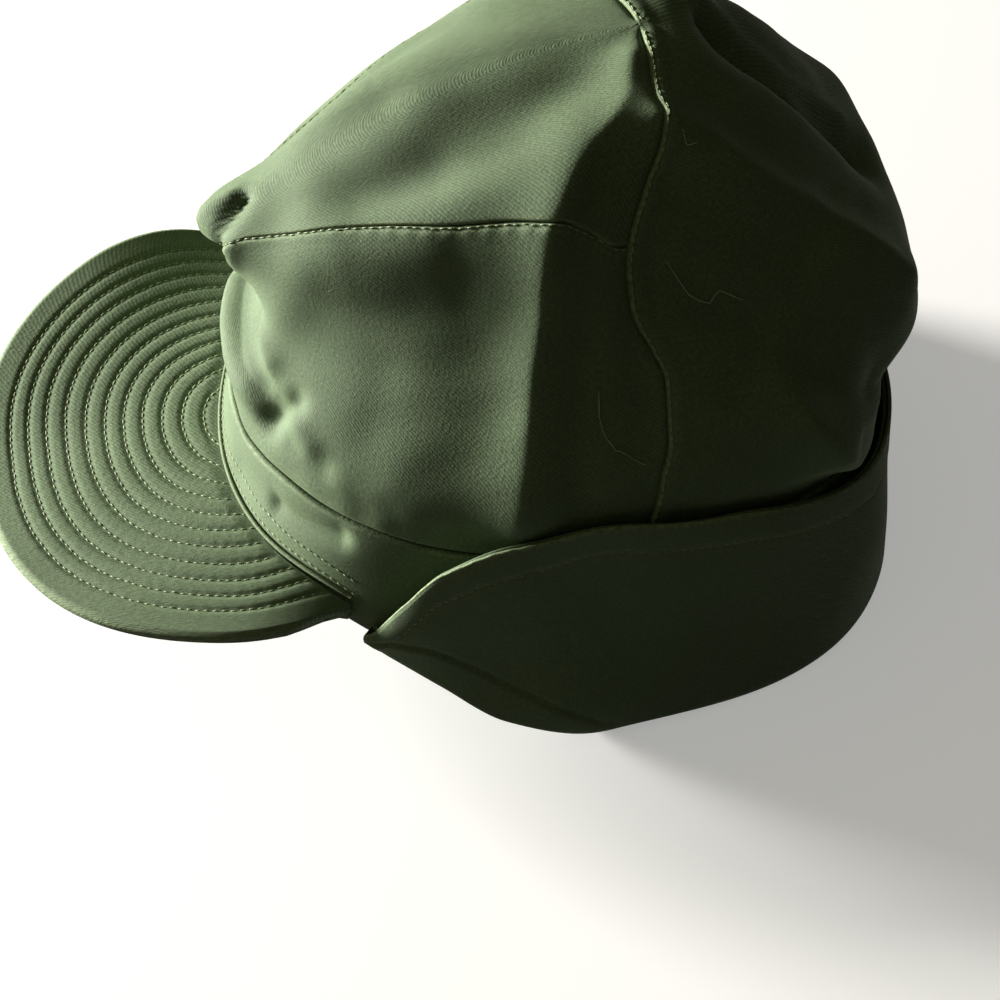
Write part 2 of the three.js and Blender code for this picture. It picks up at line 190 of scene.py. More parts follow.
def plain_point(turn, level):
    """The smooth cap without folds, in mm"""
    turn, level = np.broadcast_arrays(np.asarray(turn, float), np.asarray(level, float))
    sine, cosine = np.sin(np.radians(turn)), np.cos(np.radians(turn))
    in_front = cosine > 0
    centre = column("centre", level) * HALF_LENGTH
    reach = np.where(in_front, column("front", level) * HALF_LENGTH + centre,
                     column("back", level) * HALF_LENGTH - centre)
    half = column("side", level) * HALF_WIDTH
    power = np.where(in_front, column("front_power", level), column("back_power", level))
    across = (softened(sine) / half) ** power
    along = (np.abs(cosine) / reach) ** power
    radius = (across + along) ** (-1 / power)
    sunk = np.exp(-((turn - SUNK_TURN) / SUNK_WIDTH) ** 2) * smooth((SUNK_TOP - level) / SUNK_FADE)
    radius = radius - SUNK_MM * sunk
    dip = np.where(in_front, column("dip", level), 2)
    end_rise = np.where(in_front, column("front_rise", level), column("back_rise", level))
    side_rise = column("side_rise", level)
    height = (side_rise + (end_rise - side_rise) * np.abs(cosine) ** dip) * CROWN_HEIGHT
    if np.any(level < BAND_TOP):
        top = plain_point(turn, np.full(turn.shape, float(BAND_TOP)))[..., 2]
        low = edge(EDGE_LOW, turn) * CROWN_HEIGHT
        height = np.where(level < BAND_TOP, low + (top - low) * level, height)
    return np.stack([radius * sine, centre - radius * cosine, height], axis=-1)


def unit(vectors):
    return vectors / np.maximum(np.linalg.norm(vectors, axis=-1, keepdims=True), 1e-9)


def outward(surface, turn, level, turn_step=0.5, level_step=0.02):
    """Outward direction of a surface at its places"""
    level = np.minimum(level, APEX - 1.5 * level_step)
    along = surface(turn + turn_step, level) - surface(turn - turn_step, level)
    up = surface(turn, level + level_step) - surface(turn, np.maximum(level - level_step, 0))
    return unit(np.cross(along, up))


print("band seam at the front (mm):", plain_point(0, 1).round(1).tolist())

# %% [markdown]
# ## Folds
# Worn cotton doesn't hang smooth: it pouts over the visor, tucks in behind the band seam,
# breaks in a soft ridge at the temple, and slumps in rolls at the back. Cloth simulation could
# find such folds, but not these ones, so each is drawn one by one: it runs over the cloth from
# one place to another, and pushes the cloth out or in. The first table repeats the solids' folds,
# with the two front dents eased, and the second adds the finer ones that only the eye needs.

# %% Fold tables: places as (turn, level), width (mm), lift (mm) and how soft the crest is
MAIN_FOLDS = [
    ([(2, 4), (10, 2.9)], 6.0, -1.6, 2),
    ([(12, 2.8), (27, 1.3)], 6.0, -1.8, 2),
    ([(-2, 4.5), (9, 4.9)], 10, 1.8, 2),
    ([(16, 2.2), (20, 4.4)], 9.1, 1.8, 2),
    ([(26, 5.1), (72, 5.1)], 16.4, 4.55, 2),
    ([(75, 2), (77, 6.4)], 11.8, 3.2, 2),
    ([(97, 2), (94, 5)], 6.4, -1.1, 2),
    ([(106, 6.8), (152, 3.6)], 11.8, 4.1, 2),
    ([(186, 7), (174, 4.6)], 10.9, -5.46, 2),
    ([(215, 7.2), (200, 4.2)], 11.8, 3.64, 2),
    ([(120, 3), (136, 1.3)], 8.2, 2.73, 2),
    ([(140, 2.6), (156, 1.6)], 9.1, -4.55, 2),
    ([(-18, 3.6), (-30, 1.5)], 9.1, -2.73, 2),
    ([(-14, 5.2), (-66, 5.3)], 18.2, -4.1, 2),
    ([(-74, 2), (-78, 6)], 12.7, 2.73, 2),
    ([(-128, 3.4), (-142, 1.8)], 10.9, -3.64, 2),
]
FINE_FOLDS = [
    # The pout over the visor: a rolled rim, its dark hollow, and the crest beside the facets
    ([(0.5, 4.3), (0, 4.65), (0, 5.05), (1, 5.5)], 2.6, 1.6, 2),
    ([(5.0, 4.4), (5.3, 4.75), (5.0, 5.1), (4.2, 5.4), (3.4, 5.55)], 2.3, -2.3, 2),
    ([(7.2, 4.7), (6.8, 4.2), (6.6, 3.8), (7, 3.3), (10, 2.85), (16, 2.6), (21, 2.4)],
     3.4, 1.6, 1.6),
    ([(-14, 1.3), (0, 1.25), (12, 1.35), (18, 1.55)], 8.5, 4.6, 2),
    ([(25.8, 1.2), (27.5, 1.65), (29.5, 2.1)], 3.8, -2.5, 2),
    ([(28, 1.95), (36, 1.55)], 4.0, 1.3, 2),
    ([(33, 1.3), (40, 1.35)], 3.5, -0.9, 2),
    ([(-9, 2.4), (-14, 1.3)], 4.0, -1.4, 1.8),
    ([(-4, 3.2), (-12, 3.5)], 4.0, 1.4, 1.8),
    # Dents in the front of the top
    ([(3, 7.2), (5.2, 6.6)], 8.0, -1.6, 2),
    ([(9, 6.3), (14, 5.7)], 7.0, 0.9, 2),
    ([(22, 5.9), (30, 6.4)], 9.0, -0.9, 2),
    # The ridge at the temple: a sharper crest on the solids' broad one
    ([(74.5, 1.4), (74.5, 2.75), (73.2, 3.62), (74.0, 4.45), (76.8, 5.28), (78.8, 6.15),
      (81.8, 6.65), (86.2, 7.33), (80, 8.08)], 5.0, 1.7, 1.2),
    ([(84, 2.0), (82, 3.6), (84, 4.9), (88, 6.2)], 5.5, -1.1, 2),
    # Soft buckles of the lit wall
    ([(44, 3.2), (48, 1.7)], 7.0, -0.4, 2),
    ([(52, 4.9), (56, 4.3)], 5.0, -0.4, 2),
    # Behind the side seam: a crisp diagonal ridge, then wrinkles that run down to the flap
    ([(105, 6.75), (115, 6.55), (125, 6.3), (137, 5.5), (143, 5.1), (147, 4.5), (151, 3.6)],
     4.6, 2.6, 1.25),
    ([(108, 6.0), (120, 5.4), (134, 4.6)], 7.0, -1.8, 2),
    ([(101, 4.6), (118, 3.9)], 6.0, -1.2, 1.8),
    ([(104, 3.3), (120, 2.5)], 5.5, 1.0, 1.8),
    ([(121.8, 2.9), (124.8, 2.33), (136, 0.95)], 3.5, 1.7, 1.5),
    ([(125.5, 3.33), (130.8, 2.73), (154, 1.5)], 4.5, -2.4, 1.6),
    ([(133, 1.9), (158, 1.25)], 4.0, -2.6, 1.6),
    # The deep crease over the back and the roll above it
    ([(-165, 7.4), (177, 6.95), (172.5, 6.3), (171, 5.7), (173, 4.8)], 2.6, -5.2, 1.4),
    ([(-158, 7.1), (-171, 6.6), (-178, 5.9), (-178, 5.0)], 5.0, 2.2, 1.8),
    # Far side and back
    ([(-60, 3.8), (-72, 1.8)], 6.0, -1.0, 2),
    ([(-96, 3.0), (-112, 1.6)], 6.0, 1.2, 1.8),
    ([(-120, 5.8), (-150, 3.6)], 7.0, 1.8, 1.8),
    ([(-150, 2.9), (-172, 1.5)], 6.0, -1.6, 1.8),
]
FOLD_STEPS, DEEPEST_MM = 4, 9.1


def distance_to_path(points, path):
    """Nearest distance from each point to a line through the path's places"""
    nearest = np.full(points.shape[:-1], np.inf)
    for start, end in zip(path[:-1], path[1:]):
        line = end - start
        share = np.clip(((points - start) @ line) / (line @ line), 0, 1)
        gap = np.linalg.norm(points - start - share[..., None] * line, axis=-1)
        nearest = np.minimum(nearest, gap)
    return nearest


def fold_path(places):
    """Points (mm) on the smooth cap along a fold; a turn may pass 180 degrees"""
    places = np.array(places, float)
    turns = np.degrees(np.unwrap(np.radians(places[:, 0])))
    stops = np.arange(len(places))
    fine = np.linspace(0, len(places) - 1, FOLD_STEPS * (len(places) - 1) + 1)
    return plain_point(np.interp(fine, stops, turns), np.interp(fine, stops, places[:, 1]))


def fold_lift(points, table):
    lift = np.zeros(points.shape[:-1])
    for places, width, height, power in table:
        share = distance_to_path(points, fold_path(places)) / width
        if power < 2:
            share = np.sqrt(share * share + 0.03) - 0.17
            share = np.maximum(share, 0)
        lift += height * np.exp(-(share ** power))
    return lift


# How deep the front facets are, and the turn of the crest behind them by level
FACET_MM = 4.0
CREST_LEVELS = [1.2, 1.6, 2.05, 2.35, 2.6, 2.85, 3.3, 3.8, 4.2, 4.7]
CREST_TURNS = [23.0, 24.5, 24.0, 20.5, 16.0, 11.5, 8.0, 7.0, 6.6, 7.0]

rng = np.random.default_rng(7)
WAVES = [(rng.normal(size=3) / size, rng.uniform(0, 6.3), height)
         for size, height in [(30, 0.3), (30, 0.3), (22, 0.25), (22, 0.25), (15, 0.16), (15, 0.16),
                              (10, 0.1), (10, 0.1), (6.5, 0.07), (6.5, 0.07), (4.3, 0.05),
                              (4.3, 0.05), (3.0, 0.03), (3.0, 0.03)]]


def soft_waves(points, scale=1.0):
    """The slight unevenness of washed cloth, as a sum of slow waves"""
    return scale * sum(height * np.sin(points @ way + start) for way, start, height in WAVES)


def band_seam(turn):
    """Level of the seam between band and crown: it dips at the front"""
    side = np.abs((np.asarray(turn, float) + 180) % 360 - 180)
    return eased(side, [0, 18, 26, 34, 43, 52, 75, 180], [0.64, 0.66, 0.74, 0.83, 0.89, 0.94, 1, 1])


def top_seam(turn):
    """Level of the seam across the front half"""
    side = np.abs(np.asarray(turn, float))
    return eased(side, [0, 3, 6, 9, 14.5, 22, 47, 66, 77, 85, 94, 100],
                 [4.35, 4.4, 4.65, 5.03, 5.22, 5.28, 5.15, 5.26, 5.27, 5.15, 4.95, 4.95])


def near_seam(level):
    """Turn of the left side seam by level"""
    return eased(level, [0, 1, 2.1, 2.75, 3.45, 3.75, 4.25, 4.65, 5.1, 5.73, 6.4, 6.8, 7.2, 8, 9],
                 [97, 97, 97.5, 99, 99, 97, 93.5, 94, 96, 100.5, 105, 104.6, 101, 98, 90])


def far_seam(level):
    return column("seam", level)


def facet_lift(turn, level):
    """The cloth turns sharply inwards in front of the crest, which gives the bright facets"""
    ahead = np.interp(level, CREST_LEVELS, CREST_TURNS) - turn
    inwards = FACET_MM * (1 - np.exp(-np.clip(ahead, 0, None) / 7))
    faded = smooth((level - 1.1) / 0.5) * smooth((4.5 - level) / 0.6)
    return -inwards * faded * smooth((turn + 70) / 30)


def cap_point(turn, level):
    """The cap with its folds, in mm"""
    turn, level = np.broadcast_arrays(np.asarray(turn, float), np.asarray(level, float))
    point = plain_point(turn, level)
    lift = np.clip(fold_lift(point, MAIN_FOLDS), -DEEPEST_MM, DEEPEST_MM)
    lift = lift + fold_lift(point, FINE_FOLDS) + soft_waves(point) + facet_lift(turn, level)
    lift = lift * smooth((level - band_seam(turn)) / 0.3)
    return point + outward(plain_point, turn, level) * lift[..., None]


print("folds drawn:", len(MAIN_FOLDS) + len(FINE_FOLDS))

# %% [markdown]
# ## From two grids to a piece of cloth
# Every panel has an outer and an inner face a wall apart, joined round its edges, as real cloth
# has. A helper takes the two grids of points and makes one closed mesh. It also writes a UV map
# in millimetres of cloth, so that the weave keeps its real size everywhere, and a value for how
# rubbed each place is, which the material uses to lighten edges and seams.

# %% One closed mesh between two grids of points
PIECES = {}


def add_piece(name, mesh):
    """Links a mesh to the scene as a smooth piece of that name"""
    mesh.shade_smooth()
    PIECES[name] = bpy.data.objects.new(name, mesh)
    bpy.context.scene.collection.objects.link(PIECES[name])
    return PIECES[name]


def cloth_mm(grid, middle=0.5):
    """Millimetres of cloth along the columns and rows of a grid"""
    along = np.linalg.norm(np.diff(grid, axis=0), axis=-1).cumsum(axis=0)
    along = np.concatenate([np.zeros((1, grid.shape[1])), along])
    along = along - along[int(middle * (len(along) - 1))]
    up = np.linalg.norm(np.diff(grid, axis=1), axis=-1).mean(axis=0).cumsum()
    up = np.broadcast_to(np.concatenate([[0.0], up]), grid.shape[:2])
    return np.stack([along, up], axis=-1)


def solid_between(name, outer, inner, wear=None, closed=False, pole=False, middle=0.5):
    """One closed mesh of cloth, with its place in mm of cloth and its wear"""
    columns, rows = outer.shape[:2]
    count = columns * rows
    ids = np.arange(count).reshape(columns, rows)
    if pole:
        ids[:, -1] = ids[0, -1]
    here, there = ids, np.roll(ids, -1, axis=0)
    if not closed:
        here, there = here[:-1], there[:-1]
    faces = []

    def add(a, b, c, d):
        faces.append(np.stack([a, b, c, d], axis=-1).reshape(-1, 4))

    add(here[:, :-1], there[:, :-1], there[:, 1:], here[:, 1:])
    add(here[:, :-1] + count, here[:, 1:] + count, there[:, 1:] + count, there[:, :-1] + count)
    add(here[:, 0], here[:, 0] + count, there[:, 0] + count, there[:, 0])
    if not pole:
        add(there[:, -1], there[:, -1] + count, here[:, -1] + count, here[:, -1])
    if not closed:
        first, last = ids[0], ids[-1]
        add(first[:-1], first[1:], first[1:] + count, first[:-1] + count)
        add(last[1:], last[:-1], last[:-1] + count, last[1:] + count)
    merged = (list(dict.fromkeys(quad)) for quad in np.concatenate(faces).tolist())
    polygons = [corners for corners in merged if len(corners) > 2]
    points = np.concatenate([outer.reshape(-1, 3), inner.reshape(-1, 3)])
    mesh = bpy.data.meshes.new(name)
    mesh.from_pydata(to_row(points).tolist(), [], polygons)
    mesh.validate()
    threads = np.tile(cloth_mm(outer, middle).reshape(-1, 2), (2, 1))
    corner_ids = np.empty(len(mesh.loops), dtype=np.int32)
    mesh.loops.foreach_get("vertex_index", corner_ids)
    layer = mesh.uv_layers.new(name="cloth_mm")
    layer.data.foreach_set("uv", threads[corner_ids].astype(np.float32).ravel())
    rubbed = np.zeros(2 * count, dtype=np.float32)
    if wear is not None:
        rubbed[:count] = np.asarray(wear, dtype=np.float32).ravel()
    attribute = mesh.attributes.new("rubbed", "FLOAT", "POINT")
    attribute.data.foreach_set("value", rubbed)
    print(name, "faces:", len(mesh.polygons), "size (mm):", np.ptp(points, axis=0).round(1).tolist())
    return add_piece(name, mesh)


def close_at_ends(count, share=0.65):
    """Steps from 0 to 1 that lie closer together near both ends, where the seams are"""
    even = np.linspace(0, 1, count)
    return even - share * np.sin(2 * np.pi * even) / (2 * np.pi)


# %% [markdown]
# ## Crown and band
# The crown is three panels: a front wall, a top that runs forward to the seam across the front,
# and a back that goes from band to top in one piece. Flat-felled seams join them: one panel's
# edge is folded over the other's and sewn down, which leaves a fine ditch, a raised strip about
# 7 mm wide and a line of stitches near the ditch. `sewn_strip` makes that strip from the
# distance to the edge, and the puckers come from the sewing thread's pull.

# %% Seam shapes
WALL = 1.5
STRIP_MM = 7.0
STITCH_IN_MM = 1.5


def from_edges(grid):
    """Distances (mm) from a grid's first and last column and first and last row"""
    across = np.linalg.norm(np.diff(grid, axis=0), axis=-1).cumsum(axis=0)
    across = np.concatenate([np.zeros((1, grid.shape[1])), across])
    up = np.linalg.norm(np.diff(grid, axis=1), axis=-1).cumsum(axis=1)
    up = np.concatenate([np.zeros((grid.shape[0], 1)), up], axis=1)
    return across, across[-1:] - across, up, up[:, -1:] - up


def bump(distance, width):
    return np.exp(-(distance / width) ** 2)


def tucked_edge(distance, depth, width):
    """The rounded edge of a panel where it turns under"""
    return -depth * np.exp(-distance / width)


def sewn_strip(distance, along, height=0.45):
    """The raised strip of a felled seam, with a dent and puckers at its stitches"""
    raised = height * smooth((STRIP_MM - distance) / 4.0) * smooth(distance / 0.7)
    dent = -0.25 * bump(distance - STITCH_IN_MM, 0.55)
    pucker = 0.09 * np.sin(2 * np.pi * along / 5.3) * bump(distance - STITCH_IN_MM, 2.4)
    return raised + dent + pucker - 1.1 * bump(distance, 0.6)


def gathers(distance, along):
    """Short soft pleats where the crown's fullness is eased into the band"""
    wave = np.sin(along / 2.1 + 1.7 * np.sin(along / 13.0)) + 0.6 * np.sin(along / 3.4 + 1.0)
    return 0.16 * wave * np.exp(-distance / 7.0) * smooth(distance / 3.0)


def front_turn(share, level):
    return share * near_seam(level) - (1 - share) * far_seam(level)


def rear_turn(share, level):
    return (1 - share) * near_seam(level) + share * (360 - far_seam(level))


def levels_between(low_seam, high_seam, shares, steps, turn_of):
    """Levels of a panel whose lower and upper seams change with the turn"""
    low, high = low_seam(turn_of(shares, 1.0)), high_seam(turn_of(shares, 5.0))
    return low + (high - low) * steps


def panel(turns, levels, relief):
    """Outer and inner grids of a panel with its seam relief"""
    outer = cap_point(turns, levels)
    raised = outward(cap_point, turns, levels, 0.35, 0.03)
    lift, wear = relief(outer)
    level_part = smooth(levels - BAND_TOP)[..., None]
    through = raised * np.concatenate([np.ones_like(level_part)] * 2 + [level_part], axis=-1)
    outer = outer + raised * lift[..., None]
    inner = outer - unit(through) * WALL
    return outer, inner, wear


# %% The front wall
columns, rows = ((320, 104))
shares = close_at_ends(columns)[:, None]
levels = levels_between(band_seam, top_seam, shares, close_at_ends(rows)[None, :], front_turn)


def front_relief(grid):
    left, right, low, high = from_edges(grid)
    along = left - left[len(left) // 2]
    side = np.minimum(left, right)
    lift = (tucked_edge(low, 1.9, 1.2) + gathers(low, along) + sewn_strip(high, along, 0.15)
            + tucked_edge(side, 0.9, 0.8))
    wear = 0.3 * bump(high - 2.4, 0.7)
    return lift, wear


front_grid = panel(front_turn(shares, levels), levels, front_relief)
solid_between("crown_front_cloth", *front_grid, middle=0.72)

# %% The top
rows = 84
top_steps = np.linspace(0, 1, rows) ** 1.25
levels = levels_between(
    top_seam, lambda turn: APEX + 0 * turn, shares, top_steps[None, :], front_turn)


def top_relief(grid):
    left, right, low, high = from_edges(grid)
    side = np.minimum(left, right)
    near_top = smooth(high / 5.0)
    lift = (tucked_edge(low, 0.7, 0.4) + 0.3 * np.exp(-low / 3.0)
            + tucked_edge(side, 0.9, 0.8) * near_top)
    wear = 0.9 * bump(low - 0.5, 0.5)
    return lift, wear


top_grid = panel(front_turn(shares, levels), levels, top_relief)
solid_between("crown_top_cloth", *top_grid, pole=True, middle=0.7)

# %% The back
columns, rows = ((290, 150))
shares = close_at_ends(columns)[:, None]
up = np.linspace(0, 1, rows)
up = up - 0.4 * np.sin(np.pi * up) * (1 - up) / np.pi
levels = BAND_TOP + (APEX - BAND_TOP) * up[None, :] + 0 * shares


def back_relief(grid):
    left, right, low, high = from_edges(grid)
    along = left - left[len(left) // 2]
    side = np.minimum(left, right)
    near_top = smooth(high / 5.0)
    lift = (tucked_edge(low, 1.9, 1.2) + gathers(low, along)
            + sewn_strip(side, low, 0.5) * near_top)
    wear = 0.8 * bump(side - 0.6, 0.5) * near_top
    return lift, wear


back_grid = panel(rear_turn(shares, levels), levels, back_relief)
solid_between("crown_back_cloth", *back_grid, pole=True, middle=0.2)

# %% The head band
columns, rows = ((460, 44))
around = np.linspace(-180, 180, columns, endpoint=False)
around = around - 12 * np.sin(np.radians(around))
levels = close_at_ends(rows, 0.5)[None, :] * band_seam(around)[:, None]
BAND_DIMPLE = [([(32, 0.5), (45, 0.72)], 3.2, -2.0, 2), ([(20, 0.35), (30, 0.5)], 5.0, -0.8, 2)]


def band_relief(grid):
    _, _, low, high = from_edges(grid)
    lift = tucked_edge(high, 0.8, 0.5) + 0.2 * np.exp(-high / 3.0) + fold_lift(grid, BAND_DIMPLE)
    lift = lift + soft_waves(grid, 0.35) * smooth(low / 12)
    return lift, 0.6 * bump(high - 0.6, 0.5)


band_grid = panel(around[:, None] + 0 * levels, levels, band_relief)
solid_between("head_band_cloth", *band_grid, closed=True)

# %% [markdown]
# ## Ear flap
# The flap is cut from doubled cloth and turned up outside, so its free edge shows two folded
# layers with a narrow groove between them, and a line of stitches a finger's width below. Near
# the front corner a pressed crease runs down to the lower fold. The section goes from the fold
# up the outer layer, over its edge and down into the groove, and the inner one does the same.

# %% The turned-up flap
FLAP_HEIGHT, STAND_OFF, LEAN_IN, FLAP_POWER = 75.0, 7.0, 5.0, 2.75
CORNER_TURN, FLAP_WALL, SEAT_GAP, LAYER, EDGE_STEPS = 52.5, 2.6, 0.3, 1.15, 10


def band_radius(turn, height):
    low = edge(EDGE_LOW, turn) * CROWN_HEIGHT
    high = plain_point(turn, np.ones_like(turn))[..., 2]
    point = plain_point(turn, np.clip((height - low) / (high - low), 0, 1))
    return np.hypot(point[..., 0], point[..., 1])


def flap_radius(turn, height):
    lean = LEAN_IN * height / FLAP_HEIGHT
    sine, cosine = np.abs(np.sin(np.radians(turn))), np.abs(np.cos(np.radians(turn)))
    across = (sine / (HALF_WIDTH + STAND_OFF - lean)) ** FLAP_POWER
    along = (cosine / (HALF_LENGTH + STAND_OFF - lean)) ** FLAP_POWER
    return (across + along) ** (-1 / FLAP_POWER)


def ring_point(turn, radius, height):
    angle = np.radians(turn)
    return np.stack([radius * np.sin(angle), -radius * np.cos(angle), height], axis=-1)


def flap_low(turn):
    return edge(EDGE_LOW, turn) * CROWN_HEIGHT


def flap_high(turn):
    ripple = 0.5 * np.sin(np.radians(turn) * 9 + 0.6) + 0.3 * np.sin(np.radians(turn) * 17)
    return edge(EDGE_HIGH, turn) * FLAP_HEIGHT + ripple * smooth((turn - 60) / 20)


# The pressed crease near each front corner: turns, and heights as shares of the flap
CREASE_TURNS = [52.5, 56, 60, 66, 74, 84, 92]
CREASE_SHARES = [0.62, 0.52, 0.42, 0.33, 0.25, 0.16, 0.06]


def flap_lift(turn, height, low, high):
    """Relief of the flap's outer face (mm)"""
    side = np.abs((turn + 180) % 360 - 180)
    share = (height - low) / (high - low)
    crease = low + np.interp(side, CREASE_TURNS, CREASE_SHARES) * (high - low)
    near_corner = smooth((94 - side) / 10)
    line = -0.55 * bump(height - crease, 0.9) * near_corner
    strip = 0.45 * smooth((crease - height) / 3 + 0.3) * near_corner
    below = high - height
    stitched = -0.35 * bump(below - 9.5, 0.8) + 0.3 * smooth((10.5 - below) / 2) - 0.15
    angle = np.radians(turn)
    waves = (1.1 * np.sin(5.3 * angle + 2.2 * share + 0.4) + 0.7 * np.sin(9.1 * angle - 3.1 * share)
             + 0.35 * np.sin(17 * angle + 4 * share + 1.0))
    slack = 3.4 * bump(side - 82, 26) * bump(height - 9, 17)
    return line + strip + stitched + slack + waves * np.sin(np.pi * np.clip(share, 0, 1)) ** 0.7


columns, flap_rows = ((420, 96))
turn = np.linspace(CORNER_TURN, 360 - CORNER_TURN, columns)[:, None]
low, high = flap_low(turn), flap_high(turn)
steps = np.linspace(0, 1, flap_rows - EDGE_STEPS)[None, :]
height = low + (high - LAYER / 2 - low) * steps
radius = flap_radius(turn, height)
corner_fade = smooth((steps * (high - low)) / 4) * smooth((1 - steps) * (high - low) / 2 + 0.4)
lift = flap_lift(turn + 0 * steps, height, low, high)
fold_round = 2.4 * (1 - np.sqrt(np.clip(1 - np.clip(1 - (height - low) / 4.0, 0, 1) ** 2, 0, 1)))
outer = ring_point(turn + 0 * steps, radius + lift * corner_fade - fold_round, height)
# Over the outer layer's edge and down into the groove
bend = np.linspace(0, 1, EDGE_STEPS)[None, :]
over = np.pi * np.clip(bend / 0.7, 0, 1)
down = np.clip((bend - 0.7) / 0.3, 0, 1)
end_radius = (radius + lift * corner_fade)[:, -1:]
fray = 0.12 * np.sin(turn * 23.0) + 0.1 * np.sin(turn * 41.0 + 1.0)
edge_radius = end_radius - LAYER / 2 * (1 - np.cos(over))
edge_height = high - LAYER / 2 + (LAYER / 2 + fray) * np.sin(over) - 1.6 * down
turned_edge = ring_point(turn + 0 * bend, edge_radius, edge_height)[:, 1:]
outer = np.concatenate([outer, turned_edge], axis=1)
# The inner layer stands a little lower and is joined to the band at the fold
drop = 0.7 + 0.3 * np.sin(turn / 7.0)
inner_top = high - drop
height = low + (inner_top - LAYER / 2 - low) * steps
seat = band_radius(turn + 0 * steps, height) + SEAT_GAP
open_up = smooth((height - low) / 5.0 - 0.5)
radius_in = flap_radius(turn, height) + 0.6 * lift * corner_fade - FLAP_WALL
radius_in = seat + (radius_in - seat) * open_up
inner = ring_point(turn + 0 * steps, radius_in, height)
end_radius = radius_in[:, -1:]
edge_radius = end_radius + LAYER / 2 * (1 - np.cos(over))
edge_height = inner_top - LAYER / 2 + LAYER / 2 * np.sin(over) - 1.4 * down
turned_edge = ring_point(turn + 0 * bend, edge_radius, edge_height)[:, 1:]
inner = np.concatenate([inner, turned_edge], axis=1)
below = high - outer[..., 2]
flap_wear = 0.9 * bump(below, 1.0) + 0.25 * bump(below - 10.8, 1.0)
flap_grid = (outer, inner, flap_wear)
solid_between("ear_flap_cloth", outer, inner, flap_wear)

# %% [markdown]
# ## Visor
# The visor is stiffened and quilted: eleven rows of stitches follow its edge, 5 mm apart, and
# the cloth puffs up between them. A height map from the distance to the edge gives the rows, and
# that is exact at any size. The inner field has no rows and lies in soft waves.

# %% The quilted visor and its facing
VISOR_HALF, VISOR_REACH, SETBACK, CHORD_HEIGHT = 86.4, 100.0, 59.5, 50.0
PITCH, DROOP, ROOT_TURN, CORNER_STEP = math.radians(7.8), 16.0, 49.0, 3.0
VISOR_WALL, FACING_WALL, FACING_INSET, OUTLINE_POWER = 2.2, 1.3, 0.8, 2.38
ROW_MM, FIRST_ROW_MM, QUILT_ROWS, ROUNDING, POST_MM = 5.04, 8.7, 11, 0.17, 2.5
NARROW_SHARE, FAR_RISE_MM, FAR_HALF, FAR_POWER = 0.085, 14.0, 76.4, 2.47


def visor_top(x, y):
    forward = (-y - SETBACK) / math.cos(PITCH)
    share = np.clip(forward / VISOR_REACH, 0, 1)
    droop = (np.abs(x) / VISOR_HALF) ** 3 * (1 - share) ** 6
    twist = FAR_RISE_MM * (np.clip(-x, 0, None) / 80) ** 2 * smooth(share * 1.6)
    return CHORD_HEIGHT - math.sin(PITCH) * forward - DROOP * droop + twist


def outline(share, inset=0.0):
    """The visor's edge in plan: an oval that narrows again towards the band"""
    swing = np.radians(-90 + 180 * (0.03 + 0.94 * share))
    power = np.where(swing < 0, FAR_POWER, OUTLINE_POWER)
    half = np.where(swing < 0, FAR_HALF, VISOR_HALF)
    across = np.abs(np.sin(swing)) ** (2 / power) * np.sign(swing)
    along = np.cos(swing) ** (2 / power)
    reach = (VISOR_REACH - inset) * math.cos(PITCH)
    y = -SETBACK - reach * along
    narrow = 1 - NARROW_SHARE * smooth((y + SETBACK + 46) / 46) ** 1.5
    return np.stack([(half - inset) * across * narrow, y], axis=-1)


def visor_plan(share, part, inset=0.0):
    """Plan of a visor layer: share goes along it, and part from the root to the edge"""
    edge_place = outline(share, inset)
    turn = -ROOT_TURN + 2 * ROOT_TURN * share
    radius = band_radius(turn, np.zeros_like(turn))

    def root(away):
        return np.stack([(radius + away) * np.sin(np.radians(turn)),
                         -(radius + away) * np.cos(np.radians(turn))], axis=-1)

    blend = smooth(np.minimum(share, 1 - share) / 0.035)[..., None]
    edge_place = root(CORNER_STEP - inset) * (1 - blend) + edge_place * blend
    plan = root(SEAT_GAP) + (edge_place - root(SEAT_GAP)) * part[..., None]
    return plan


OUTLINE = outline(np.linspace(0, 1, 361))
run_on = 40 * unit(OUTLINE[[0, -1]] - OUTLINE[[3, -4]])
OUTLINE = np.concatenate([OUTLINE[:1] + run_on[:1], OUTLINE, OUTLINE[-1:] + run_on[1:]])


def walk(path, pitch):
    """Places along a path at an even pitch, and its direction there"""
    path = np.asarray(path)
    run = np.concatenate([[0], np.linalg.norm(np.diff(path[:, :3], axis=0), axis=1).cumsum()])
    stops = np.arange(pitch / 2, run[-1], pitch)
    at = np.stack([np.interp(stops, run, path[:, k]) for k in range(path.shape[1])], axis=1)
    ahead = np.stack([np.interp(stops + 0.3, run, path[:, k]) for k in range(3)], axis=1)
    behind = np.stack([np.interp(stops - 0.3, run, path[:, k]) for k in range(3)], axis=1)
    return at, unit(ahead - behind)


def edge_distance(plan):
    """Distance (mm) from the visor's outer edge, rounded off where the inner rows would kink"""
    flat = np.concatenate([plan, 0 * plan[..., :1]], axis=-1)
    path = np.concatenate([OUTLINE, 0 * OUTLINE[:, :1]], axis=-1)
    sharp = distance_to_path(flat, path)
    posts, _ = walk(path, POST_MM)
    spread = np.linalg.norm(flat[..., None, :] - posts, axis=-1)
    crowd = (POST_MM * np.exp(-ROUNDING * spread)).sum(axis=-1)
    even = 0.5 * np.log(2 * np.pi * np.maximum(sharp, 1) / ROUNDING)
    soft = (even - np.log(crowd)) / ROUNDING
    return sharp + (soft - sharp) * smooth((sharp - 14) / 22)


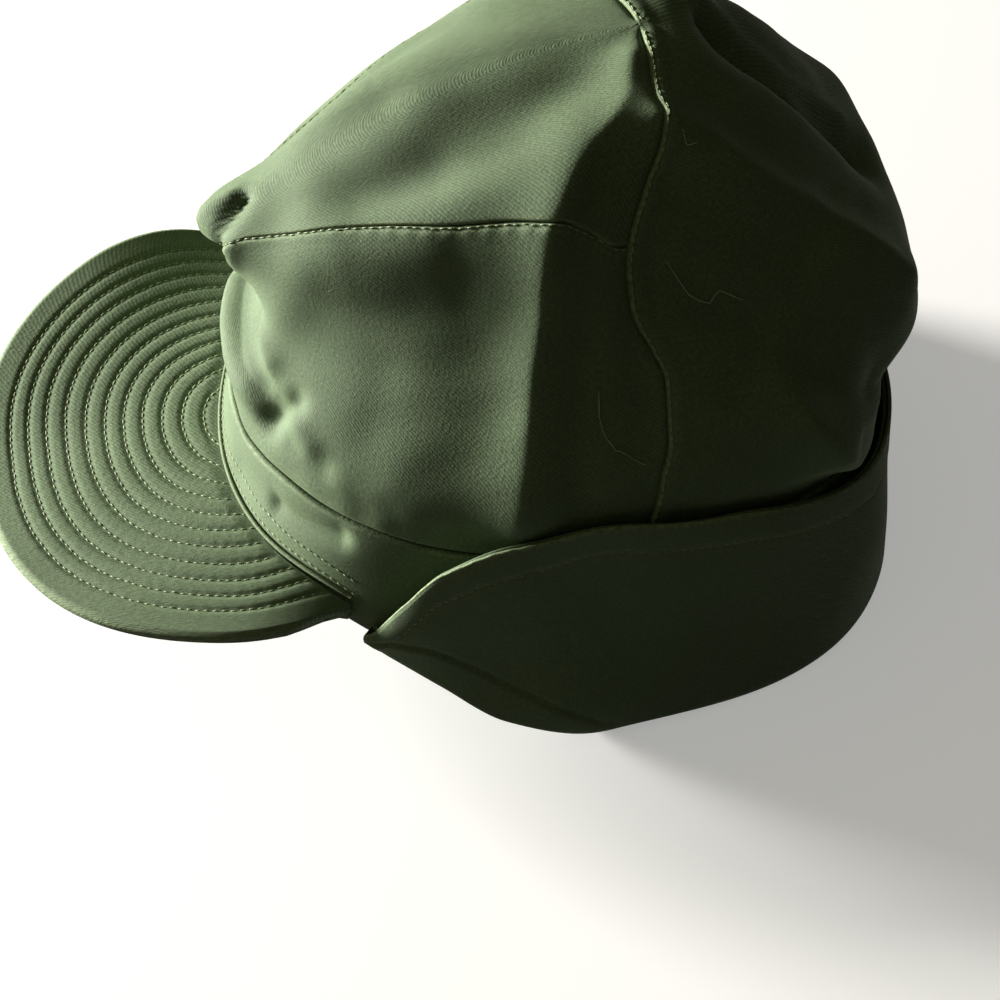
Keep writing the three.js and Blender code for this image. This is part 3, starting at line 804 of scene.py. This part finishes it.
def quilt_lift(plan, distance):
    """Puffed ribs between the stitch rows, and soft waves in the inner field"""
    last = FIRST_ROW_MM + ROW_MM * (QUILT_ROWS - 1)
    row = np.clip(np.round((distance - FIRST_ROW_MM) / ROW_MM), 0, QUILT_ROWS - 1)
    beside = np.abs(distance - FIRST_ROW_MM - row * ROW_MM)
    puff = 0.42 * (1 - np.exp(-(beside / 0.95) ** 2))
    along = np.arctan2(plan[..., 0], -plan[..., 1] - SETBACK) * 90
    pucker = 0.04 * np.sin(2 * np.pi * along / 4.7 + 2 * row) * np.exp(-beside / 1.2)
    field = np.concatenate([plan, 0 * plan[..., :1]], axis=-1)
    inner = smooth((distance - last - 2) / 8)
    slow = 0.5 * np.sin(plan[..., 0] / 9 + 1.0) * np.sin(plan[..., 1] / 11) + 0.3 * soft_waves(field)
    return puff + pucker + slow * (0.35 + 0.9 * inner)


def visor_layer(name, depth, wall, inset, columns, rows, quilted):
    share = np.linspace(0, 1, columns)[:, None] + np.zeros((1, rows))
    part = close_at_ends(rows, 0.35)[None, :] + 0 * share
    plan = visor_plan(share, part, inset)
    distance = np.maximum(edge_distance(plan) - inset, 0)
    top = visor_top(plan[..., 0], plan[..., 1]) - depth
    rim = 1 - np.clip(distance / 1.5, 0, 1)
    fall = wall * 0.42 * (1 - np.sqrt(np.clip(1 - rim**2, 0, 1)))
    lift = quilt_lift(plan, distance) * (1 if quilted else 0.25)
    lift = lift * smooth(distance / 1.8) * smooth(part * 12)
    upper = np.concatenate([plan, (top - fall + lift)[..., None]], axis=-1)
    lower = np.concatenate([plan, (top - wall + fall * 0.9)[..., None]], axis=-1)
    wear = 0.8 * bump(distance, 1.1)
    if quilted:
        wear = wear + 0.12 * smooth(lift / 0.5)
    faced = solid_between(name, lower, upper)
    rubbed = np.zeros(2 * share.size, dtype=np.float32)
    rubbed[share.size:] = wear.ravel()
    faced.data.attributes["rubbed"].data.foreach_set("value", rubbed)
    return upper, distance


visor_columns, visor_rows = ((300, 158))
visor_upper, visor_distance = visor_layer(
    "visor_cloth", 0, VISOR_WALL, 0, visor_columns, visor_rows, True)
visor_layer("visor_facing_cloth", VISOR_WALL + SEAT_GAP, FACING_WALL, FACING_INSET, 120, 30, False)

# %% [markdown]
# ## Stitches
# A lockstitch shows as a row of short bridges of thread, each sunk into the cloth at both ends.
# Here the stitches are 2.4 mm apart, as measured. Drawing them in a texture would be lighter,
# but thread that stands above the cloth catches the light and casts its own small shadow. One
# mesh holds all the stitches of a seam.

# %% A row of stitches
STITCH_MM, STITCH_LENGTH_MM, THREAD_RADIUS = 2.4, 1.75, 0.17
STITCHES = {}


def stitch_row(seam, path, normals):
    """Adds stitches along a path of surface points with their outward directions"""
    at, way = walk(np.concatenate([path, normals], axis=1), STITCH_MM)
    place, out = at[:, :3], unit(at[:, 3:])
    side = unit(np.cross(out, way))
    chance = np.random.default_rng(len(STITCHES) * 13 + len(at))
    place = place + side * chance.normal(0, 0.08, (len(at), 1))
    bridge = [(-0.5, -0.3), (-0.36, 0.04), (0.0, 0.13), (0.36, 0.04), (0.5, -0.3)]
    ring = [(math.cos(a), math.sin(a)) for a in np.linspace(0, 2 * math.pi, 6)[:-1]]
    points = np.stack([
        place + way * (step * STITCH_LENGTH_MM) + out * (rise + THREAD_RADIUS * 0.8 * s)
        + side * (THREAD_RADIUS * c)
        for step, rise in bridge for c, s in ring], axis=1)
    STITCHES.setdefault(seam, []).append(points)


def sew(seam):
    """Joins the stitches of a seam in one mesh"""
    blocks = np.concatenate(STITCHES[seam])
    per, around = blocks.shape[1], 5
    quads = []
    for lap in range(per // around - 1):
        for k in range(around):
            a, b = lap * around + k, lap * around + (k + 1) % around
            quads.append((a, b, b + around, a + around))
    quads = np.array(quads)
    faces = (quads[None] + per * np.arange(len(blocks))[:, None, None]).reshape(-1, 4)
    mesh = bpy.data.meshes.new(seam)
    mesh.from_pydata(to_row(blocks.reshape(-1, 3)).tolist(), [], faces.tolist())
    add_piece(seam, mesh)
    print(seam, "stitches:", len(blocks))


def grid_normals(grid):
    along = np.gradient(grid, axis=0)
    up = np.gradient(grid, axis=1)
    return unit(np.cross(along, up))


def line_in_grid(grid, values, wanted):
    """For each column of a grid, the point where its value reaches the wanted one"""
    normals = grid_normals(grid)
    path, out = [], []
    for points, facing, value in zip(grid, normals, values):
        rising = value[-1] > value[0]
        ordered = value if rising else value[::-1]
        if not ordered[0] < wanted < ordered[-1]:
            continue
        k = int(np.searchsorted(ordered, wanted))
        k = k if rising else len(value) - k
        low_k, high_k = (k - 1, k)
        part = (wanted - value[low_k]) / (value[high_k] - value[low_k])
        path.append(points[low_k] * (1 - part) + points[high_k] * part)
        out.append(facing[low_k])
    return np.array(path), np.array(out)


# %% Sew the visor, the crown and the flap
for row in range(QUILT_ROWS):
    wanted = FIRST_ROW_MM + row * ROW_MM
    path, out = line_in_grid(visor_upper, visor_distance, wanted)
    stitch_row("visor_stitches", path, -out if out[:, 2].mean() < 0 else out)
sew("visor_stitches")

*_, high = from_edges(front_grid[0])
stitch_row("crown_stitches", *line_in_grid(front_grid[0], -high, -STITCH_IN_MM))
left, right, *_ = from_edges(back_grid[0])
turned_grid = np.swapaxes(back_grid[0], 0, 1)[:-4]
for distance, wanted in ((left, 1.9), (-right, -1.9)):
    path, out = line_in_grid(turned_grid, distance.T[:-4], wanted)
    stitch_row("crown_stitches", path, -out)
sew("crown_stitches")

flap_face = flap_grid[0][:, :flap_rows - EDGE_STEPS]
path, out = line_in_grid(flap_face, flap_face[..., 2] - flap_high(turn), -9.5)
stitch_row("flap_stitches", path, out)
sew("flap_stitches")

root_turn = np.degrees(np.arctan2(band_grid[0][..., 0], -band_grid[0][..., 1]))
above = band_grid[0][..., 2] - visor_top(band_grid[0][..., 0], band_grid[0][..., 1])
on_front = np.abs(root_turn[:, 0]) < 50
order = np.argsort(root_turn[on_front][:, 0])
for wanted in (2.6, 6.4):
    path, out = line_in_grid(band_grid[0][on_front][order], above[on_front][order], wanted)
    stitch_row("band_stitches", path, out)
sew("band_stitches")

# %% [markdown]
# ## Piping at the visor's root
# Where band and visor meet, the band's folded edge makes a thin round welt that catches the
# light, with a dark gap beside it. It is a thin tube that follows the root line.

# %% The welt along the root
root_share = np.linspace(0.004, 0.996, 150)
root_turns = -ROOT_TURN + 2 * ROOT_TURN * root_share
root_radius = band_radius(root_turns, np.full(root_turns.shape, 45.0))
welt = ring_point(root_turns, root_radius + 0.5, np.zeros_like(root_turns))
welt[:, 2] = visor_top(welt[:, 0], welt[:, 1]) + 1.1
out = unit(ring_point(root_turns, np.ones_like(root_turns), np.zeros_like(root_turns)))


def round_tube(name, path, out, radius, sides, wear):
    """A thin closed tube along a path, with its run along the path as its cloth place"""
    ahead = unit(np.gradient(path, axis=0))
    lift = unit(np.cross(ahead, out))
    angles = np.linspace(0, 2 * np.pi, sides + 1)[:-1]
    rings = np.stack([path + radius * (np.cos(a) * out + np.sin(a) * lift) for a in angles], axis=1)
    faces = [tuple(reversed(range(sides))), tuple(range((len(path) - 1) * sides, len(path) * sides))]
    for k in range(len(path) - 1):
        for a in range(sides):
            b = (a + 1) % sides
            faces.append((k * sides + a, (k + 1) * sides + a, (k + 1) * sides + b, k * sides + b))
    mesh = bpy.data.meshes.new(name)
    mesh.from_pydata(to_row(rings.reshape(-1, 3)).tolist(), [], faces)
    run = np.concatenate([[0], np.linalg.norm(np.diff(path, axis=0), axis=1).cumsum()])
    layer = mesh.uv_layers.new(name="cloth_mm")
    for loop in mesh.loops:
        k, a = divmod(loop.vertex_index, sides)
        layer.data[loop.index].uv = (run[k], a * 0.5)
    mesh.attributes.new("rubbed", "FLOAT", "POINT").data.foreach_set(
        "value", np.full(len(mesh.vertices), wear, dtype=np.float32))
    add_piece(name, mesh)


round_tube("root_welt", welt, out, 0.6, 10, 0.55)
print("welt (mm):", round(float(np.linalg.norm(np.diff(welt, axis=0), axis=1).sum())))

# %% [markdown]
# ## Lint
# Cotton sateen picks up stray fibres, and on dark cloth they show. A few long hairs are drawn
# as very thin tubes that lie just above the cloth, because a painted line would look flat.

# %% Stray hairs on the side and the back
HAIRS = [
    [(86, 3.4), (86.3, 3.15), (87.5, 2.95), (89.5, 2.7), (92, 2.62), (95, 2.5)],
    [(104, 4.7), (107, 4.35), (111, 4.2), (114, 4.3), (118, 4.2)],
    [(112, 6.5), (114, 6.3), (117, 6.25)],
]
for number, places in enumerate(HAIRS, start=1):
    steps = np.linspace(0, len(places) - 1, 12 * len(places))
    hair_turns, hair_levels = (
        np.interp(steps, np.arange(len(places)), [place[k] for place in places]) for k in (0, 1))
    hair_levels = hair_levels + 0.03 * np.sin(2.1 * steps + number)
    facing = outward(cap_point, hair_turns, hair_levels)
    hair = cap_point(hair_turns, hair_levels) + facing * 0.3
    round_tube(f"lint_hair_{number}", hair, facing, 0.12, 5, 0.0)

# %% [markdown]
# ## Materials
# The cloth is cotton sateen, dyed olive green. Sateen floats its warp threads over several
# weft threads, so it shows fine diagonal lines and a dull sheen, and it pales a little where
# folds and edges rub. Real sateen lines lie about 0.4 mm apart, which is too fine for this
# picture, so they are drawn 0.75 mm apart. Small pale specks are lint.

# %% Colours and nodes
def linear(hex_colour):
    """A linear colour from an sRGB hex value"""
    parts = [int(hex_colour[k:k + 2], 16) / 255 for k in (1, 3, 5)]
    light = (p / 12.92 if p <= 0.04045 else ((p + 0.055) / 1.055) ** 2.4 for p in parts)
    return (*light, 1.0)


def node(tree, kind, settings=(), inputs=(), links=()):
    """Adds a node with its settings and links"""
    made = tree.nodes.new(kind)
    for key, value in dict(settings).items():
        setattr(made, key, value)
    for key, value in dict(inputs).items():
        made.inputs[key].default_value = value
    for key, source in dict(links).items():
        tree.links.new(source, made.inputs[key])
    return made


def cotton_sateen(name, shade, rubbed_shade, line_mm=0.75):
    material = bpy.data.materials.new(name)
    material.use_nodes = True
    tree = material.node_tree
    tree.nodes.clear()
    cloth = node(tree, "ShaderNodeUVMap", {"uv_map": "cloth_mm"})
    space = node(tree, "ShaderNodeTexCoord")
    turned = node(tree, "ShaderNodeMapping", {}, {"Rotation": (0, 0, math.radians(-60))},
                  {"Vector": cloth.outputs["UV"]})
    lines = node(tree, "ShaderNodeTexWave", {"wave_type": "BANDS", "bands_direction": "X"},
                 {"Scale": 0.31416 / line_mm, "Distortion": 2.6, "Detail": 3.0, "Detail Scale": 1.1},
                 {"Vector": turned.outputs["Vector"]})
    slub = node(tree, "ShaderNodeTexNoise", {}, {"Scale": 0.95, "Detail": 3.0, "Roughness": 0.75},
                {"Vector": cloth.outputs["UV"]})
    fade = node(tree, "ShaderNodeTexNoise", {}, {"Scale": 26.0, "Detail": 5.0, "Roughness": 0.6},
                {"Vector": space.outputs["Object"]})
    worn = node(tree, "ShaderNodeTexNoise", {}, {"Scale": 0.55, "Detail": 6.0, "Roughness": 0.7},
                {"Vector": cloth.outputs["UV"]})
    rubbed = node(tree, "ShaderNodeAttribute", {"attribute_name": "rubbed"})
    base = node(tree, "ShaderNodeMix", {"data_type": "RGBA", "blend_type": "MULTIPLY"},
                {0: 0.3, 6: linear(shade)}, {7: lines.outputs["Color"]})
    tint = node(tree, "ShaderNodeMapRange", {}, {1: 0.3, 2: 0.7, 3: 0.86, 4: 1.14},
                {0: fade.outputs["Fac"]})
    grain = node(tree, "ShaderNodeMapRange", {}, {1: 0.3, 2: 0.7, 3: 0.6, 4: 1.4},
                 {0: slub.outputs["Fac"]})
    both = node(tree, "ShaderNodeMath", {"operation": "MULTIPLY"}, {},
                {0: tint.outputs[0], 1: grain.outputs[0]})
    varied = node(tree, "ShaderNodeMix", {"data_type": "RGBA", "blend_type": "MULTIPLY"}, {0: 1.0},
                  {6: base.outputs[2], 7: both.outputs[0]})
    patch = node(tree, "ShaderNodeMapRange", {}, {1: 0.42, 2: 0.66, 3: 0.2, 4: 1.0},
                 {0: worn.outputs["Fac"]})
    amount = node(tree, "ShaderNodeMath", {"operation": "MULTIPLY", "use_clamp": True}, {},
                  {0: rubbed.outputs["Fac"], 1: patch.outputs[0]})
    paled = node(tree, "ShaderNodeMix", {"data_type": "RGBA"}, {7: linear(rubbed_shade)},
                 {0: amount.outputs[0], 6: varied.outputs[2]})
    speck = node(tree, "ShaderNodeTexNoise", {}, {"Scale": 1.7, "Detail": 3.0, "Roughness": 0.7},
                 {"Vector": cloth.outputs["UV"]})
    rare = node(tree, "ShaderNodeMapRange", {}, {1: 0.64, 2: 0.74, 3: 0.0, 4: 0.5},
                {0: speck.outputs["Fac"]})
    coloured = node(tree, "ShaderNodeMix", {"data_type": "RGBA"}, {7: linear("#9aa388")},
                    {0: rare.outputs[0], 6: paled.outputs[2]})
    rough = node(tree, "ShaderNodeMapRange", {}, {1: 0.3, 2: 0.7, 3: 0.72, 4: 0.88},
                 {0: slub.outputs["Fac"]})
    weave = node(tree, "ShaderNodeBump", {}, {"Strength": 0.3, "Distance": 0.0001},
                 {"Height": lines.outputs["Fac"]})
    fuzz = node(tree, "ShaderNodeBump", {}, {"Strength": 0.5, "Distance": 0.0003},
                {"Height": slub.outputs["Fac"], "Normal": weave.outputs["Normal"]})
    shader = node(tree, "ShaderNodeBsdfPrincipled", {},
                  {"IOR": 1.5, "Specular IOR Level": 0.3, "Sheen Weight": 0.12, "Sheen Roughness": 0.45,
                   "Sheen Tint": linear("#a8b48c")},
                  {"Base Color": coloured.outputs[2], "Roughness": rough.outputs[0],
                   "Normal": fuzz.outputs["Normal"]})
    node(tree, "ShaderNodeOutputMaterial", {}, {}, {"Surface": shader.outputs["BSDF"]})
    return material


def cotton_thread(name, shade):
    material = bpy.data.materials.new(name)
    material.use_nodes = True
    tree = material.node_tree
    tree.nodes.clear()
    space = node(tree, "ShaderNodeTexCoord")
    twist = node(tree, "ShaderNodeTexWave", {"bands_direction": "DIAGONAL"},
                 {"Scale": 900.0, "Distortion": 1.0}, {"Vector": space.outputs["Object"]})
    patches = node(tree, "ShaderNodeTexNoise", {}, {"Scale": 160.0, "Detail": 2.0},
                   {"Vector": space.outputs["Object"]})
    tint = node(tree, "ShaderNodeMapRange", {}, {1: 0.3, 2: 0.7, 3: 0.75, 4: 1.2},
                {0: patches.outputs["Fac"]})
    colour = node(tree, "ShaderNodeMix", {"data_type": "RGBA", "blend_type": "MULTIPLY"},
                  {0: 1.0, 6: linear(shade)}, {7: tint.outputs[0]})
    ply = node(tree, "ShaderNodeBump", {}, {"Strength": 0.3, "Distance": 0.00008},
               {"Height": twist.outputs["Fac"]})
    shader = node(tree, "ShaderNodeBsdfPrincipled", {},
                  {"IOR": 1.5, "Roughness": 0.62, "Specular IOR Level": 0.35},
                  {"Base Color": colour.outputs[2], "Normal": ply.outputs["Normal"]})
    node(tree, "ShaderNodeOutputMaterial", {}, {}, {"Surface": shader.outputs["BSDF"]})
    return material


olive = cotton_sateen("cotton_sateen_olive", "#57684a", "#8b9a74")
thread = cotton_thread("cotton_thread_olive", "#87906c")
lint = cotton_thread("cotton_lint_pale", "#a9b094")
for name, piece in PIECES.items():
    kind = lint if name.startswith("lint") else thread if name.endswith("stitches") else olive
    piece.data.materials.append(kind)

# %% [markdown]
# ## Which piece stands for which solid
# Every cloth piece rides on the cap's one body and hides the solid that it replaces. The
# panels are sheets of cloth, so the area of each and its spans in mm of cloth are printed.

# %% Ride, replace and print the sizes
STANDS_FOR = {
    "crown_front_cloth": "crown_front", "crown_top_cloth": "crown_top",
    "crown_back_cloth": "crown_back", "head_band_cloth": "head_band",
    "ear_flap_cloth": "ear_flap", "visor_cloth": "visor", "visor_facing_cloth": "visor_facing",
}
for name, piece in PIECES.items():
    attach(piece, "root")
    if name in STANDS_FOR:
        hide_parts(STANDS_FOR[name])


def outer_area(grid):
    a, b = grid[1:, :-1] - grid[:-1, :-1], grid[:-1, 1:] - grid[:-1, :-1]
    return float(np.linalg.norm(np.cross(a, b), axis=-1).sum())


for name, grid in dict(front=front_grid[0], top=top_grid[0], back=back_grid[0], band=band_grid[0],
                       flap=flap_grid[0], visor=visor_upper).items():
    spans = cloth_mm(grid)
    print(name, "area (mm2):", round(outer_area(grid)), "spans (mm):",
          [round(float(np.ptp(spans[..., k]))) for k in (0, 1)])

# %% [markdown]
# ## Floor and light
# The cap rests on its rim on a pale floor. One large soft lamp stands low in front of the cap
# and a little to its far side, so the front wall is bright, the visor and top are half lit, and
# the back half falls in shadow. The room itself gives a weak fill.

# %% Floor, lamp and room
bpy.ops.mesh.primitive_circle_add(vertices=96, radius=3.0, fill_type="NGON", location=(0, 0, 0))
floor = bpy.context.object
floor.name = "studio_floor"
floor_paint = bpy.data.materials.new("studio_floor_paint")
floor_paint.use_nodes = True
paint = floor_paint.node_tree.nodes["Principled BSDF"]
paint.inputs["Base Color"].default_value = linear("#ecebe8")
paint.inputs["Roughness"].default_value = 0.9
paint.inputs["Emission Color"].default_value = linear("#ffffff")
paint.inputs["Emission Strength"].default_value = 0.35
floor.data.materials.append(floor_paint)
floor.visible_diffuse = False

LAMP_TURN, LAMP_HEIGHT, LAMP_AWAY = math.radians(-33), math.radians(6.5), 2.6
toward = np.array([math.sin(LAMP_TURN) * math.cos(LAMP_HEIGHT),
                   -math.cos(LAMP_TURN) * math.cos(LAMP_HEIGHT), math.sin(LAMP_HEIGHT)])
lamp_data = bpy.data.lights.new("window_lamp", "AREA")
lamp_data.shape = "DISK"
lamp_data.size = 0.7
lamp_data.energy = 365.0
lamp_data.color = (1.0, 0.98, 0.94)
lamp = bpy.data.objects.new("window_lamp", lamp_data)
bpy.context.scene.collection.objects.link(lamp)

lamp.location = Vector(toward.tolist()) * LAMP_AWAY + Vector((0, 0, 0.08))
lamp.rotation_euler = Vector(toward.tolist()).to_track_quat("Z", "Y").to_euler()

world = bpy.data.worlds.new("pale_room")
world.use_nodes = True
room = world.node_tree
ways = node(room, "ShaderNodeTexCoord")
aim = node(room, "ShaderNodeVectorMath", {"operation": "DOT_PRODUCT"}, {1: (0.0, -0.6, 0.8)},
           {0: ways.outputs["Generated"]})
height = node(room, "ShaderNodeMapRange", {}, {1: 0.05, 2: 1.0, 3: 0.002, 4: 0.19},
              {0: aim.outputs["Value"]})
backdrop = room.nodes["Background"]
backdrop.inputs["Color"].default_value = (1.0, 0.95, 0.62, 1.0)
room.links.new(height.outputs[0], backdrop.inputs["Strength"])
bpy.context.scene.world = world
bpy.context.scene.view_settings.view_transform = "Standard"
